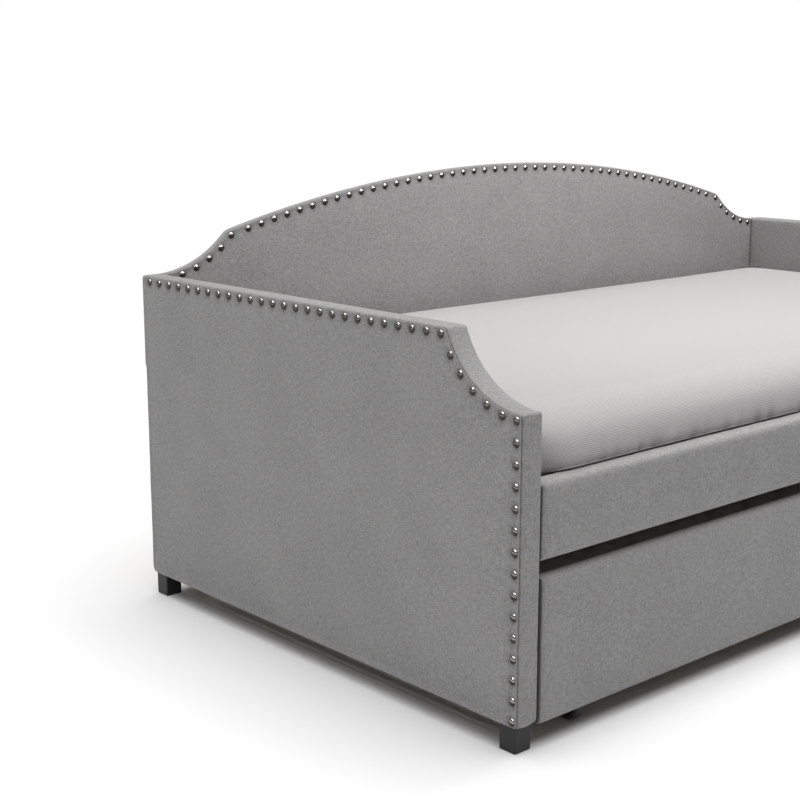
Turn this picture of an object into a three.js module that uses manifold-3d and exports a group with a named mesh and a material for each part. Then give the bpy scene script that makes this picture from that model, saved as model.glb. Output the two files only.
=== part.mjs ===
// Upholstered daybed with a trundle that rolls out of its front.
// Millimetres, +Z up, the front looks along -Y. The origin is on the floor under the middle of the bed.
// Inside the bed group, x = 0 is the middle, y = 0 the front face of the arms and z = 0 the floor.

import * as THREE from 'three';
import { mergeVertices } from 'three/addons/utils/BufferGeometryUtils.js';
import Module from 'manifold-3d';

const wasm = await Module();
wasm.setup();

// ---- Driving dimensions ----

const GAP = 0.3; // left between pieces that touch
const BED_LENGTH = 2050;
const ARM_DEPTH = 1020;
const ARM_THICKNESS = 49;
const ARM_BOTTOM = 46;
const ARM_TOP = 648;
const POST_TOP = 537; // top of the arm's low front post
const ARM_SCOOP_RADIUS = 174;
const PADDING = 8; // foam and fabric on each face of a board

const BACK_LENGTH = 2026;
const BACK_THICKNESS = 24;
const BACK_PADDING = 5; // the back panel's padding is thinner than the others'
const BACK_BOTTOM = 463;
const BACK_EAR_TOP = 646;
const BACK_CROWN = 831;
const BACK_CROWN_RADIUS = 3130;
const BACK_SCOOP_RADIUS = 240;
const BACK_SCOOP_START = 992; // distance from the middle to where the level ear ends

const RAIL_BOTTOM = 302;
const RAIL_TOP = 425;
const RAIL_THICKNESS = 42;
const RAIL_END_GAP = 1.5;
const BACK_RAIL_END_GAP = 0.5;
const BACK_RAIL_BOTTOM = 270;
const BACK_RAIL_THICKNESS = 26;
const BACK_RAIL_FRONT = 990;
const CLEAT_DEPTH = 20;
const CLEAT_HEIGHT = 20;
const CLEAT_END_GAP = 10;
const BATTEN_EASE = 2;

const SLAT_WIDTH = 70;
const SLAT_THICKNESS = 14;
const BED_SLATS = 10;
const TRUNDLE_SLATS = 8;
const SLAT_EASE = 4;
const OUTER_SLAT = 890; // from the middle to the end slats' middles
const OUTER_TRUNDLE_SLAT = 880;
const SLAT_FRONT_GAP = 5; // behind the front rail
const SLAT_END_GAP = 2;
const TRUNDLE_SLAT_FRONT_GAP = 1;

const MATTRESS_LENGTH = 1905;
const MATTRESS_WIDTH = 965;
const MATTRESS_TOP = 522;
const MATTRESS_FRONT = 46;

const TRUNDLE_BOTTOM = 36;
const TRUNDLE_TOP = 278;
const TRUNDLE_END_GAP = 5;
const TRUNDLE_FRONT_THICKNESS = 24;
const BOX_BOTTOM = 50;
const BOX_TOP = 150;
const BOX_BOARD = 15;
const BOX_END_GAP = 2; // behind each end of the trundle front
const TRUNDLE_CLEAT_DEPTH = 45;
const TRUNDLE_CLEAT_HEIGHT = 22;
const TRUNDLE_MATTRESS_WIDTH = 960;
const TRUNDLE_MATTRESS_HEIGHT = 150;

const FOOT_SIDE = 35;
const FOOT_INSET = 8; // from the arm's outer face and front edge
const REAR_FOOT_INSET = 2; // from the arm's rear edge

const WHEEL_RADIUS = 25;
const WHEEL_WIDTH = 20;
const AXLE_RADIUS = 4;
const BORE_CLEARANCE = 0.1;
const CASTER_HEIGHT = 66;
const CASTER_FROM_MIDDLE = 850;
const CHEEK = 2.5; // a caster fork's steel
const CHEEK_CLEARANCE = 2; // beside the wheel

const STEEL = 3; // bracket plate
const BRACKET_LEG = 40;
const RAIL_BRACKET_RISE = 25; // above the cleat
const RAIL_BRACKET_DROP = 10; // below the rail's top
const BACK_RAIL_BRACKET_INSET = 3;
const BACK_PANEL_BRACKET_INSET = 7;
const ROUND_STEPS = 24; // facets round a wheel
const PIN_STEPS = 12; // facets round an axle
const OUTLINE_STEPS = 12; // facets along each arc of a panel's outline
const EASED_STEPS = 2; // facets on an eased edge

// ---- Worked-out dimensions ----

const HALF_LENGTH = BED_LENGTH / 2;
const ARM_INNER = HALF_LENGTH - ARM_THICKNESS;
const OVERALL_DEPTH = ARM_DEPTH + GAP + BACK_THICKNESS;
const CLEAT_TOP = RAIL_BOTTOM + CLEAT_HEIGHT;
const SLAT_TOP = CLEAT_TOP + GAP + SLAT_THICKNESS;
const TRUNDLE_HALF = ARM_INNER - TRUNDLE_END_GAP;
const BOX_HALF = TRUNDLE_HALF - BOX_END_GAP;
const BOX_FRONT = TRUNDLE_FRONT_THICKNESS + GAP;
const BOX_BACK = ARM_DEPTH - BOX_BOARD;
const TRUNDLE_CLEAT_TOP = CASTER_HEIGHT + GAP + TRUNDLE_CLEAT_HEIGHT;
const TRUNDLE_SLAT_TOP = TRUNDLE_CLEAT_TOP + GAP + SLAT_THICKNESS;

// ---- Materials ----

const finish = (color, roughness, metalness = 0) =>
  new THREE.MeshStandardMaterial({ color, roughness, metalness });

const upholstery = () => finish(0x9b9b99, 0.95);
const sheetCloth = () => finish(0xd9d6d3, 0.9);
const tickingCloth = () => finish(0xe4e2df, 0.9);
const frameWood = () => finish(0xb99a70, 0.7);
const slatWood = () => finish(0xd8bd8f, 0.65);
const blackPlastic = () => finish(0x141414, 0.45);
const zincSteel = () => finish(0xa9acae, 0.4, 0.9);
const greyTread = () => finish(0x3a3b3d, 0.6);

// ---- Solids ----

// A three.js geometry as a manifold solid.
function solid(geometry) {
  const bare = geometry.clone();
  bare.deleteAttribute('normal');
  bare.deleteAttribute('uv');
  const merged = mergeVertices(bare, 1e-4);
  return new wasm.Manifold(new wasm.Mesh({
    numProp: 3,
    vertProperties: new Float32Array(merged.attributes.position.array),
    triVerts: new Uint32Array(merged.index.array),
  }));
}

// A manifold solid as a three.js geometry.
function geometryOf(manifold) {
  const mesh = manifold.getMesh();
  const positions = new THREE.BufferAttribute(new Float32Array(mesh.vertProperties), 3);
  const geometry = new THREE.BufferGeometry();
  geometry.setAttribute('position', positions);
  geometry.setIndex(new THREE.BufferAttribute(new Uint32Array(mesh.triVerts), 1));
  geometry.computeVertexNormals();
  return geometry;
}

const cut = (body, tool) => geometryOf(solid(body).subtract(solid(tool)));
const join = (first, second) => geometryOf(solid(first).add(solid(second)));

// A block between two opposite corners.
function block([x0, y0, z0], [x1, y1, z1]) {
  const geometry = new THREE.BoxGeometry(x1 - x0, y1 - y0, z1 - z0);
  return geometry.translate((x0 + x1) / 2, (y0 + y1) / 2, (z0 + z1) / 2);
}

const prism = (shape, depth, curveSegments) =>
  new THREE.ExtrudeGeometry(shape, { depth, bevelEnabled: false, curveSegments });

// An outline drawn in (y, z), run along X from x0 to x1.
function alongX(shape, x0, x1, steps = OUTLINE_STEPS) {
  const toYZ = new THREE.Matrix4().makeBasis(
    new THREE.Vector3(0, 1, 0),
    new THREE.Vector3(0, 0, 1),
    new THREE.Vector3(1, 0, 0),
  );
  return prism(shape, x1 - x0, steps).applyMatrix4(toYZ).translate(x0, 0, 0);
}

// An outline drawn in (x, z), run along Y from y0 to y1.
function alongY(shape, y0, y1, steps = OUTLINE_STEPS) {
  return prism(shape, y1 - y0, steps).rotateX(Math.PI / 2).translate(0, y1, 0);
}

// A rectangle with rounded corners.
function roundedRectangle(u0, v0, u1, v1, radius) {
  const shape = new THREE.Shape();
  shape.moveTo(u0 + radius, v0);
  shape.lineTo(u1 - radius, v0);
  shape.absarc(u1 - radius, v0 + radius, radius, -Math.PI / 2, 0, false);
  shape.lineTo(u1, v1 - radius);
  shape.absarc(u1 - radius, v1 - radius, radius, 0, Math.PI / 2, false);
  shape.lineTo(u0 + radius, v1);
  shape.absarc(u0 + radius, v1 - radius, radius, Math.PI / 2, Math.PI, false);
  shape.lineTo(u0, v0 + radius);
  shape.absarc(u0 + radius, v0 + radius, radius, Math.PI, 1.5 * Math.PI, false);
  return shape;
}

// ---- The bed's tree ----

const bed = new THREE.Group();
bed.position.y = -OVERALL_DEPTH / 2;

function add(name, geometry, material) {
  const mesh = new THREE.Mesh(geometry, material);
  mesh.name = name;
  bed.add(mesh);
  return mesh;
}

// ---- Arms ----

// The side view of an arm, drawn inset from its outer edge, from a given bottom.
function armOutline(inset, bottom) {
  const centreZ = POST_TOP + ARM_SCOOP_RADIUS;
  const radius = ARM_SCOOP_RADIUS + inset;
  const top = ARM_TOP - inset;
  const postAngle = Math.asin(inset / radius) - Math.PI / 2;
  const topAngle = Math.acos((centreZ - top) / radius) - Math.PI / 2;
  const shape = new THREE.Shape();
  shape.moveTo(inset, bottom);
  shape.lineTo(ARM_DEPTH - inset, bottom);
  shape.lineTo(ARM_DEPTH - inset, top);
  shape.absarc(0, centreZ, radius, topAngle, postAngle, true);
  return shape;
}

// The padded cover hangs over the board and is open underneath.
function addArm(side, outerX, innerX) {
  const [x0, x1] = [Math.min(outerX, innerX), Math.max(outerX, innerX)];
  const outer = alongX(armOutline(0, ARM_BOTTOM), x0, x1);
  const inset = PADDING - GAP;
  const hollow = alongX(armOutline(inset, ARM_BOTTOM - 1), x0 + inset, x1 - inset);
  add(`${side}_arm_cover`, cut(outer, hollow), upholstery());
  const board = alongX(armOutline(PADDING, ARM_BOTTOM), x0 + PADDING, x1 - PADDING);
  add(`${side}_arm_board`, board, frameWood());
}

// ---- Back panel ----

// Where the scoop's arc meets the crown's arc, left of the middle.
function shoulder(scoopRadius, crownRadius) {
  const scoopZ = BACK_EAR_TOP + BACK_SCOOP_RADIUS;
  const crownZ = BACK_CROWN - BACK_CROWN_RADIUS;
  const apart = Math.hypot(BACK_SCOOP_START, scoopZ - crownZ);
  const along = (scoopRadius ** 2 - crownRadius ** 2 + apart ** 2) / (2 * apart);
  const aside = Math.sqrt(scoopRadius ** 2 - along ** 2);
  const [ux, uz] = [BACK_SCOOP_START / apart, (crownZ - scoopZ) / apart];
  const x = -BACK_SCOOP_START + ux * along - uz * aside;
  return new THREE.Vector2(x, scoopZ + uz * along + ux * aside);
}

// The front view of the back panel: level ears, a scoop up to each shoulder and a long shallow crown.
function backOutline(inset, bottom) {
  const scoopRadius = BACK_SCOOP_RADIUS + inset;
  const crownRadius = BACK_CROWN_RADIUS - inset;
  const scoopZ = BACK_EAR_TOP + BACK_SCOOP_RADIUS;
  const crownZ = BACK_CROWN - BACK_CROWN_RADIUS;
  const corner = shoulder(scoopRadius, crownRadius);
  const half = BACK_LENGTH / 2 - inset;
  const scoopAngle = Math.atan2(corner.y - scoopZ, corner.x + BACK_SCOOP_START);
  const mirroredAngle = -Math.PI - scoopAngle;
  const crownAngle = Math.atan2(corner.y - crownZ, -corner.x);
  const shape = new THREE.Shape();
  shape.moveTo(-half, bottom);
  shape.lineTo(half, bottom);
  shape.lineTo(half, BACK_EAR_TOP - inset);
  shape.absarc(BACK_SCOOP_START, scoopZ, scoopRadius, -Math.PI / 2, mirroredAngle, true);
  shape.absarc(0, crownZ, crownRadius, crownAngle, Math.PI - crownAngle, false);
  shape.absarc(-BACK_SCOOP_START, scoopZ, scoopRadius, scoopAngle, -Math.PI / 2, true);
  shape.lineTo(-half, BACK_EAR_TOP - inset);
  return shape;
}

function addBackPanel() {
  const front = ARM_DEPTH + GAP;
  const rear = front + BACK_THICKNESS;
  const outer = alongY(backOutline(0, BACK_BOTTOM), front, rear);
  const inset = BACK_PADDING - GAP;
  const hollow = alongY(backOutline(inset, BACK_BOTTOM - 1), front + inset, rear - inset);
  add('back_cover', cut(outer, hollow), upholstery());
  const boardOutline = backOutline(BACK_PADDING, BACK_BOTTOM);
  const board = alongY(boardOutline, front + BACK_PADDING, rear - BACK_PADDING);
  add('back_board', board, frameWood());
}

// ---- Rails, trundle front and cleats ----

// A straight padded board, its cover open underneath and reaching below the board.
function addPaddedBoard(name, halfLength, thickness, bottom, top) {
  const inset = PADDING - GAP;
  const outer = block([-halfLength, 0, bottom], [halfLength, thickness, top]);
  const hollowLow = [inset - halfLength, inset, bottom - 1];
  const hollowHigh = [halfLength - inset, thickness - inset, top - inset];
  add(`${name}_cover`, cut(outer, block(hollowLow, hollowHigh)), upholstery());
  const low = [PADDING - halfLength, PADDING, bottom + PADDING];
  const high = [halfLength - PADDING, thickness - PADDING, top - PADDING];
  add(`${name}_board`, block(low, high), frameWood());
}

// A length of timber along X with eased edges.
function batten(halfLength, y0, y1, z0, z1) {
  return alongX(roundedRectangle(y0, z0, y1, z1, BATTEN_EASE), -halfLength, halfLength, EASED_STEPS);
}

function addRails() {
  addPaddedBoard('front_rail', ARM_INNER - RAIL_END_GAP, RAIL_THICKNESS, RAIL_BOTTOM, RAIL_TOP);
  const half = ARM_INNER - BACK_RAIL_END_GAP;
  const backRailRear = BACK_RAIL_FRONT + BACK_RAIL_THICKNESS;
  const backRail = batten(half, BACK_RAIL_FRONT, backRailRear, BACK_RAIL_BOTTOM, SLAT_TOP);
  add('back_rail', backRail, frameWood());
  const frontCleatY = RAIL_THICKNESS + GAP;
  const backCleatY = BACK_RAIL_FRONT - GAP - CLEAT_DEPTH;
  const cleatHalf = ARM_INNER - CLEAT_END_GAP;
  for (const [name, y] of [['front', frontCleatY], ['back', backCleatY]]) {
    const cleat = batten(cleatHalf, y, y + CLEAT_DEPTH, RAIL_BOTTOM, CLEAT_TOP);
    add(`${name}_slat_cleat`, cleat, frameWood());
  }
}

// ---- Slats ----

// Boards with eased long edges, laid front to back and spread evenly along the bed.
function addSlats(name, count, reach, y0, y1, top) {
  for (let i = 0; i < count; i += 1) {
    const x0 = -reach + (2 * reach * i) / (count - 1) - SLAT_WIDTH / 2;
    const section = roundedRectangle(x0, top - SLAT_THICKNESS, x0 + SLAT_WIDTH, top, SLAT_EASE);
    add(`${name}_${i + 1}`, alongY(section, y0, y1, EASED_STEPS), slatWood());
  }
}

// ---- Mattresses ----

// A soft block with rounded corners and edges, plain enough for collision.
function mattress(length, y0, width, z0, z1) {
  const corner = 55;
  const edge = 16;
  const half = length / 2;
  const plan = roundedRectangle(-half + edge, y0 + edge, half - edge, y0 + width - edge, corner - edge);
  const options = {
    depth: z1 - z0 - 2 * edge,
    bevelThickness: edge,
    bevelSize: edge,
    bevelSegments: 3,
    curveSegments: 4,
  };
  return new THREE.ExtrudeGeometry(plan, options).translate(0, 0, z0 + edge);
}

// ---- Feet and brackets ----

function addFoot(name, x, y) {
  const half = FOOT_SIDE / 2;
  const ease = 1.5;
  const plan = roundedRectangle(ease - half, ease - half, half - ease, half - ease, 1);
  const height = ARM_BOTTOM - GAP;
  const options = {
    depth: height - 2 * ease,
    bevelThickness: ease,
    bevelSize: ease,
    bevelSegments: 2,
    curveSegments: 1,
  };
  add(name, new THREE.ExtrudeGeometry(plan, options).translate(x, y, ease), blackPlastic());
}

function addFeet() {
  const half = FOOT_SIDE / 2;
  const x = HALF_LENGTH - FOOT_INSET - half;
  for (const [side, sign] of [['left', -1], ['right', 1]]) {
    addFoot(`front_${side}_foot`, sign * x, FOOT_INSET + half);
    addFoot(`rear_${side}_foot`, sign * x, ARM_DEPTH - REAR_FOOT_INSET - half);
  }
}

// A steel angle in the corner between an arm's inner face and a rail's face. reach is +1 where its arm leg
// runs towards the rear of the bed and -1 where it runs towards the front.
function addBracket(name, sign, faceY, reach, z0, z1) {
  const corner = ARM_INNER - GAP;
  const leg = BRACKET_LEG;
  const outline = [[0, 0], [leg, 0], [leg, STEEL], [STEEL, STEEL], [STEEL, leg], [0, leg]];
  const turned = sign * reach > 0 ? [...outline].reverse() : outline;
  const place = ([u, v]) => new THREE.Vector2(sign * (corner - u), faceY + reach * (GAP + v));
  const shape = new THREE.Shape(turned.map(place));
  add(name, prism(shape, z1 - z0, 1).translate(0, 0, z0), zincSteel());
}

function addBrackets() {
  const places = [
    ['front_rail', RAIL_THICKNESS, 1, CLEAT_TOP + RAIL_BRACKET_RISE, RAIL_TOP - RAIL_BRACKET_DROP],
    [
      'back_rail', BACK_RAIL_FRONT, -1,
      BACK_RAIL_BOTTOM + BACK_RAIL_BRACKET_INSET, RAIL_BOTTOM - BACK_RAIL_BRACKET_INSET,
    ],
    [
      'back_panel', ARM_DEPTH + GAP, -1,
      BACK_BOTTOM + BACK_PANEL_BRACKET_INSET, MATTRESS_TOP - BACK_PANEL_BRACKET_INSET,
    ],
  ];
  for (const [side, sign] of [['left', -1], ['right', 1]]) {
    for (const [joined, faceY, reach, z0, z1] of places) {
      addBracket(`${joined}_${side}_bracket`, sign, faceY, reach, z0, z1);
    }
  }
}

// ---- Trundle ----

function addTrundleBox() {
  addPaddedBoard('trundle_front', TRUNDLE_HALF, TRUNDLE_FRONT_THICKNESS, TRUNDLE_BOTTOM, TRUNDLE_TOP);
  for (const [side, sign] of [['left', -1], ['right', 1]]) {
    const [x0, x1] = [sign * BOX_HALF, sign * (BOX_HALF - BOX_BOARD)].sort((a, b) => a - b);
    const section = roundedRectangle(x0, BOX_BOTTOM, x1, BOX_TOP, BATTEN_EASE);
    add(`trundle_${side}_side`, alongY(section, BOX_FRONT, BOX_BACK - GAP, EASED_STEPS), frameWood());
  }
  add('trundle_back', batten(BOX_HALF, BOX_BACK, ARM_DEPTH, BOX_BOTTOM, BOX_TOP), frameWood());
  const cleatHalf = BOX_HALF - BOX_BOARD - GAP;
  const cleatBottom = CASTER_HEIGHT + GAP;
  const backCleatY = BOX_BACK - GAP - TRUNDLE_CLEAT_DEPTH;
  for (const [name, y] of [['front', BOX_FRONT], ['back', backCleatY]]) {
    const cleat = batten(cleatHalf, y, y + TRUNDLE_CLEAT_DEPTH, cleatBottom, TRUNDLE_CLEAT_TOP);
    add(`trundle_${name}_cleat`, cleat, frameWood());
  }
}

// ---- Casters ----

// A round profile of [radius, distance along the axle] points, turned about the X axis.
function turnedAboutX(points, steps) {
  const profile = points.map(([radius, along]) => new THREE.Vector2(radius, along));
  return new THREE.LatheGeometry(profile, steps).rotateZ(-Math.PI / 2);
}

// A wheel with a hub, a thinner web and a tread with eased edges.
function wheel() {
  const bore = AXLE_RADIUS + BORE_CLEARANCE;
  const half = WHEEL_WIDTH / 2;
  const hub = 9;
  const rim = 18;
  const web = 5;
  const ease = 2.5;
  return turnedAboutX([
    [bore, -half], [hub, -half], [hub + 1, -web], [rim - 1, -web], [rim, -half],
    [WHEEL_RADIUS - ease, -half], [WHEEL_RADIUS, ease - half],
    [WHEEL_RADIUS, half - ease], [WHEEL_RADIUS - ease, half],
    [rim, half], [rim - 1, web], [hub + 1, web], [hub, half], [bore, half], [bore, -half],
  ], ROUND_STEPS);
}

// A mounting plate with two cheeks that hold the axle.
function fork() {
  const inner = WHEEL_WIDTH / 2 + CHEEK_CLEARANCE;
  const outer = inner + CHEEK;
  const axleZ = WHEEL_RADIUS;
  const holeRadius = AXLE_RADIUS + GAP;
  const plateBottom = CASTER_HEIGHT - CHEEK;
  const cheekHalf = 18;
  const cheekNose = 10;
  const [plateHalfX, plateHalfY] = [30, 20];
  const side = new THREE.Shape();
  side.moveTo(cheekHalf, plateBottom + 1);
  side.lineTo(-cheekHalf, plateBottom + 1);
  side.absarc(0, axleZ, cheekNose, Math.PI, 2 * Math.PI, false);
  const plate = block([-plateHalfX, -plateHalfY, plateBottom], [plateHalfX, plateHalfY, CASTER_HEIGHT]);
  const cheeks = join(alongX(side, -outer, -inner, PIN_STEPS), alongX(side, inner, outer, PIN_STEPS));
  const end = outer + 1;
  const hole = turnedAboutX([[0, -end], [holeRadius, -end], [holeRadius, end], [0, end]], PIN_STEPS);
  return cut(join(plate, cheeks), hole.translate(0, 0, axleZ));
}

// A riveted pin with a low head outside each cheek.
function axle() {
  const cheekOuter = WHEEL_WIDTH / 2 + CHEEK_CLEARANCE + CHEEK + GAP;
  const headRadius = AXLE_RADIUS + 2.5;
  const headEnd = cheekOuter + 2;
  return turnedAboutX([
    [0, -headEnd], [headRadius - 1, -headEnd], [headRadius, 1 - headEnd], [headRadius, -cheekOuter],
    [AXLE_RADIUS, -cheekOuter], [AXLE_RADIUS, cheekOuter],
    [headRadius, cheekOuter], [headRadius, headEnd - 1], [headRadius - 1, headEnd], [0, headEnd],
  ], PIN_STEPS);
}

function addCasters() {
  const frontY = BOX_FRONT + TRUNDLE_CLEAT_DEPTH / 2;
  const backY = BOX_BACK - GAP - TRUNDLE_CLEAT_DEPTH / 2;
  for (const [end, y] of [['front', frontY], ['back', backY]]) {
    for (const [side, sign] of [['left', -1], ['right', 1]]) {
      const x = sign * CASTER_FROM_MIDDLE;
      add(`${end}_${side}_caster_fork`, fork(), zincSteel()).position.set(x, y, 0);
      add(`${end}_${side}_caster_axle`, axle(), zincSteel()).position.set(x, y, WHEEL_RADIUS);
      add(`${end}_${side}_caster_wheel`, wheel(), greyTread()).position.set(x, y, WHEEL_RADIUS);
    }
  }
}

// ---- Assembly ----

addArm('left', -HALF_LENGTH, -ARM_INNER);
addArm('right', HALF_LENGTH, ARM_INNER);
addBackPanel();
addRails();
const slatFront = RAIL_THICKNESS + SLAT_FRONT_GAP;
addSlats('slat', BED_SLATS, OUTER_SLAT, slatFront, BACK_RAIL_FRONT - SLAT_END_GAP, SLAT_TOP);
const bedMattress = mattress(MATTRESS_LENGTH, MATTRESS_FRONT, MATTRESS_WIDTH, SLAT_TOP + GAP, MATTRESS_TOP);
add('mattress', bedMattress, sheetCloth());
addFeet();
addBrackets();
addTrundleBox();
const trundleSlatFront = BOX_FRONT + TRUNDLE_SLAT_FRONT_GAP;
const trundleSlatRear = BOX_BACK - SLAT_END_GAP;
addSlats(
  'trundle_slat', TRUNDLE_SLATS, OUTER_TRUNDLE_SLAT, trundleSlatFront, trundleSlatRear, TRUNDLE_SLAT_TOP,
);
const trundleMattressFront = (BOX_FRONT + BOX_BACK - TRUNDLE_MATTRESS_WIDTH) / 2;
const trundleMattressBottom = TRUNDLE_SLAT_TOP + GAP;
const trundleMattressTop = trundleMattressBottom + TRUNDLE_MATTRESS_HEIGHT;
const trundleMattress = mattress(
  MATTRESS_LENGTH, trundleMattressFront, TRUNDLE_MATTRESS_WIDTH, trundleMattressBottom, trundleMattressTop,
);
add('trundle_mattress', trundleMattress, tickingCloth());
addCasters();

export default bed;
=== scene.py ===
"""An upholstered daybed with a trundle: its fabric, padding, nailheads and finishes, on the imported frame."""
import math

import bmesh
import bpy
import numpy as np
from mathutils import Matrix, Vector
from mathutils.bvhtree import BVHTree


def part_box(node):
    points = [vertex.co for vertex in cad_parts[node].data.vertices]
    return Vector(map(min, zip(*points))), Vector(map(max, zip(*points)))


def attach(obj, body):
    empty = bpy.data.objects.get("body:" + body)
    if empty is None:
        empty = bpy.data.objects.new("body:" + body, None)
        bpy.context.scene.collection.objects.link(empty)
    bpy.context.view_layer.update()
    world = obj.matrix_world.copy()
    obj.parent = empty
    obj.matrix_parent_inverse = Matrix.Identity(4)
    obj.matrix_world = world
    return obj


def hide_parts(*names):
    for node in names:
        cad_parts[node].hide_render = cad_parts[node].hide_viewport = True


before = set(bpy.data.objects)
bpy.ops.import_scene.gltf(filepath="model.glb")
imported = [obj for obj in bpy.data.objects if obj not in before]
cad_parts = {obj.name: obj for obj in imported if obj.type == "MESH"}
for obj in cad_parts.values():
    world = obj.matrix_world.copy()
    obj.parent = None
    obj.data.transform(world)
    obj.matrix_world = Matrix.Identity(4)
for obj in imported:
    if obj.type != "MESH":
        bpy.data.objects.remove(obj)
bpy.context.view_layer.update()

MM = 0.001

# ---- Sizes that the frame's boxes don't give, in metres ----

POST_TOP = 0.537  # top of the arm's low front post
ARM_SCOOP = 0.174  # radius of the curve from the post up to the arm's top
BACK_EAR_TOP = 0.646
BACK_SCOOP = 0.240
BACK_SCOOP_START = 0.992
BACK_CROWN_RADIUS = 3.130
OUTLINE_STEP = 0.007
NAIL_RADIUS = 0.0067
NAIL_HEIGHT = 0.0038
NAIL_INSET = 0.0105
PAINTED_HIGHLIGHT_SIDE = (-0.35, -0.25, 0.9)  # each nail gets a painted highlight towards up, left and front and painted shade on its other side: a choice, not wear
NAIL_DIMPLE = 0.0092  # how far round a nail the cloth is pulled in
NAIL_PULL = 0.0021  # how deep a nail pulls the cloth in
NAIL_FOOT = 0.0026  # where a nailhead stands, below the panel's face
NAILED_CLOTH = 0.0018  # the cloth's level under the nails
PANEL_WAVE = 0.0003
BOARD_CORNER = 0.007
BOARD_END = 0.012  # the stretch over which a board's end is drawn in
BOARD_END_PULL = 0.0014
SWELL_STEPS = 20
MATTRESS_STEP = 0.020
MATTRESS_CORNER = 0.060
MATTRESS_EDGE = 0.048
MATTRESS_ROOM = (0.008, 0.006, 0.0025)  # left round the mattress for its swelling
TRUNDLE_MATTRESS_STEP = 0.020
TRUNDLE_MATTRESS_CORNER = 0.055
TRUNDLE_MATTRESS_EDGE = 0.030
TRUNDLE_MATTRESS_ROOM = (0.009, 0.009, 0.006)
MATTRESS_OVERHANG = 0.030  # how far the mattress swells forward over the front rail
SWELL_REACH = 0.160  # how far back from the front the swell begins
RAIL_CLEARANCE = 0.0016  # between the rail's top and the swell above it
PUCKER = 0.0022
PUCKER_SHADE = 0.5
SHEET_GAP = 0.0009  # between the sheet and the mattress
SHEET_THICKNESS = 0.0007
SHEET_HEM_UNDER = 0.080  # how far the fitted sheet is turned under
SHEET_TUCKS = 0.0013  # how far the sheet's gathers stand off, low on the sides
SHEET_TUCKS_FROM = 0.03  # below the mattress's top
SHEET_TUCKS_FULL = 0.11  # further down than that
SHEET_SAG = 0.00035
QUILT_PITCH = 0.110
QUILT_SEAM = 0.009
QUILT_DEPTH = 0.0045
PIPING_RADIUS = 0.0032
PIPING_SEAT = 0.0006  # how far the piping's middle is sunk in the cloth
PIPING_FROM_EDGE = 0.027

# ---- Colours ----

LINEN_DARK = (0.186, 0.184, 0.182)
LINEN_PALE = (0.372, 0.369, 0.364)
# painted shade for the linen's seams, nail dimples and the gaps beside the arms
LINEN_PAINTED_SHADE = (0.07, 0.068, 0.066)
THREAD_PITCH = 0.0016
SHEET_LINE_PITCH = 0.0034
SHEET_PALE = (0.465, 0.446, 0.446)
SHEET_LINE = (0.205, 0.195, 0.20)
# painted shade in the sheet's tucks along the front rail
SHEET_TUCK_SHADE = (0.12, 0.115, 0.115)

# ---- Camera and studio ----

CAMERA_PLACE = (-2.5466, -1.96865, 1.0013)
CAMERA_YAW = 48.364  # from +X towards +Y, in degrees
CAMERA_PITCH = -11.874
CAMERA_LENS = 66.19
ROOM_LIGHT = 0.15
CEILING_LIGHT = 3.3
FLOOR_TONE = 0.835


# ---- Outlines ----

def straight(start, end):
    """A straight span of an outline: its length, and its point at a share of the way along."""
    (x0, y0), (x1, y1) = start, end
    return math.dist(start, end), lambda s: (x0 + (x1 - x0) * s, y0 + (y1 - y0) * s)


def arc(centre, radius, start, end):
    """A round span of an outline, between two angles."""
    def at(s):
        angle = start + (end - start) * s
        return centre[0] + radius * math.cos(angle), centre[1] + radius * math.sin(angle)
    return abs(end - start) * radius, at


def joined(first, second):
    """Two spans that follow each other, as one."""
    length = first[0] + second[0]
    share = first[0] / length

    def at(s):
        if s < share:
            return first[1](s / share)
        return second[1]((s - share) / (1 - share)) if share < 1 else first[1](1)
    return length, at


def arm_spans(inset):
    """The arm's side view: bottom, rear edge, top, scoop and post, inset from the outer edge."""
    low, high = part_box("left_arm_cover")
    centre = (low.y, POST_TOP + ARM_SCOOP)
    radius = ARM_SCOOP + inset
    front, rear = low.y + inset, high.y - inset
    bottom, top = low.z + inset, high.z - inset
    at_post = math.asin(inset / radius) - math.pi / 2
    at_top = math.acos((centre[1] - top) / radius) - math.pi / 2
    scoop = arc(centre, radius, at_top, at_post)
    return [
        straight((front, bottom), (rear, bottom)),
        straight((rear, bottom), (rear, top)),
        straight((rear, top), scoop[1](0)),
        scoop,
        straight(scoop[1](1), (front, bottom)),
    ]


def shoulder_angles(scoop_radius, crown_radius, crown_z):
    """Where the right scoop and the crown meet: the angle on each, about its own centre."""
    scoop_z = BACK_EAR_TOP + BACK_SCOOP
    apart = math.hypot(BACK_SCOOP_START, scoop_z - crown_z)
    along = (scoop_radius**2 - crown_radius**2 + apart**2) / (2 * apart)
    aside = math.sqrt(scoop_radius**2 - along**2)
    ux, uz = -BACK_SCOOP_START / apart, (crown_z - scoop_z) / apart
    x, z = BACK_SCOOP_START + ux * along + uz * aside, scoop_z + uz * along - ux * aside
    return math.atan2(z - scoop_z, x - BACK_SCOOP_START), math.atan2(z - crown_z, x)


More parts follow.
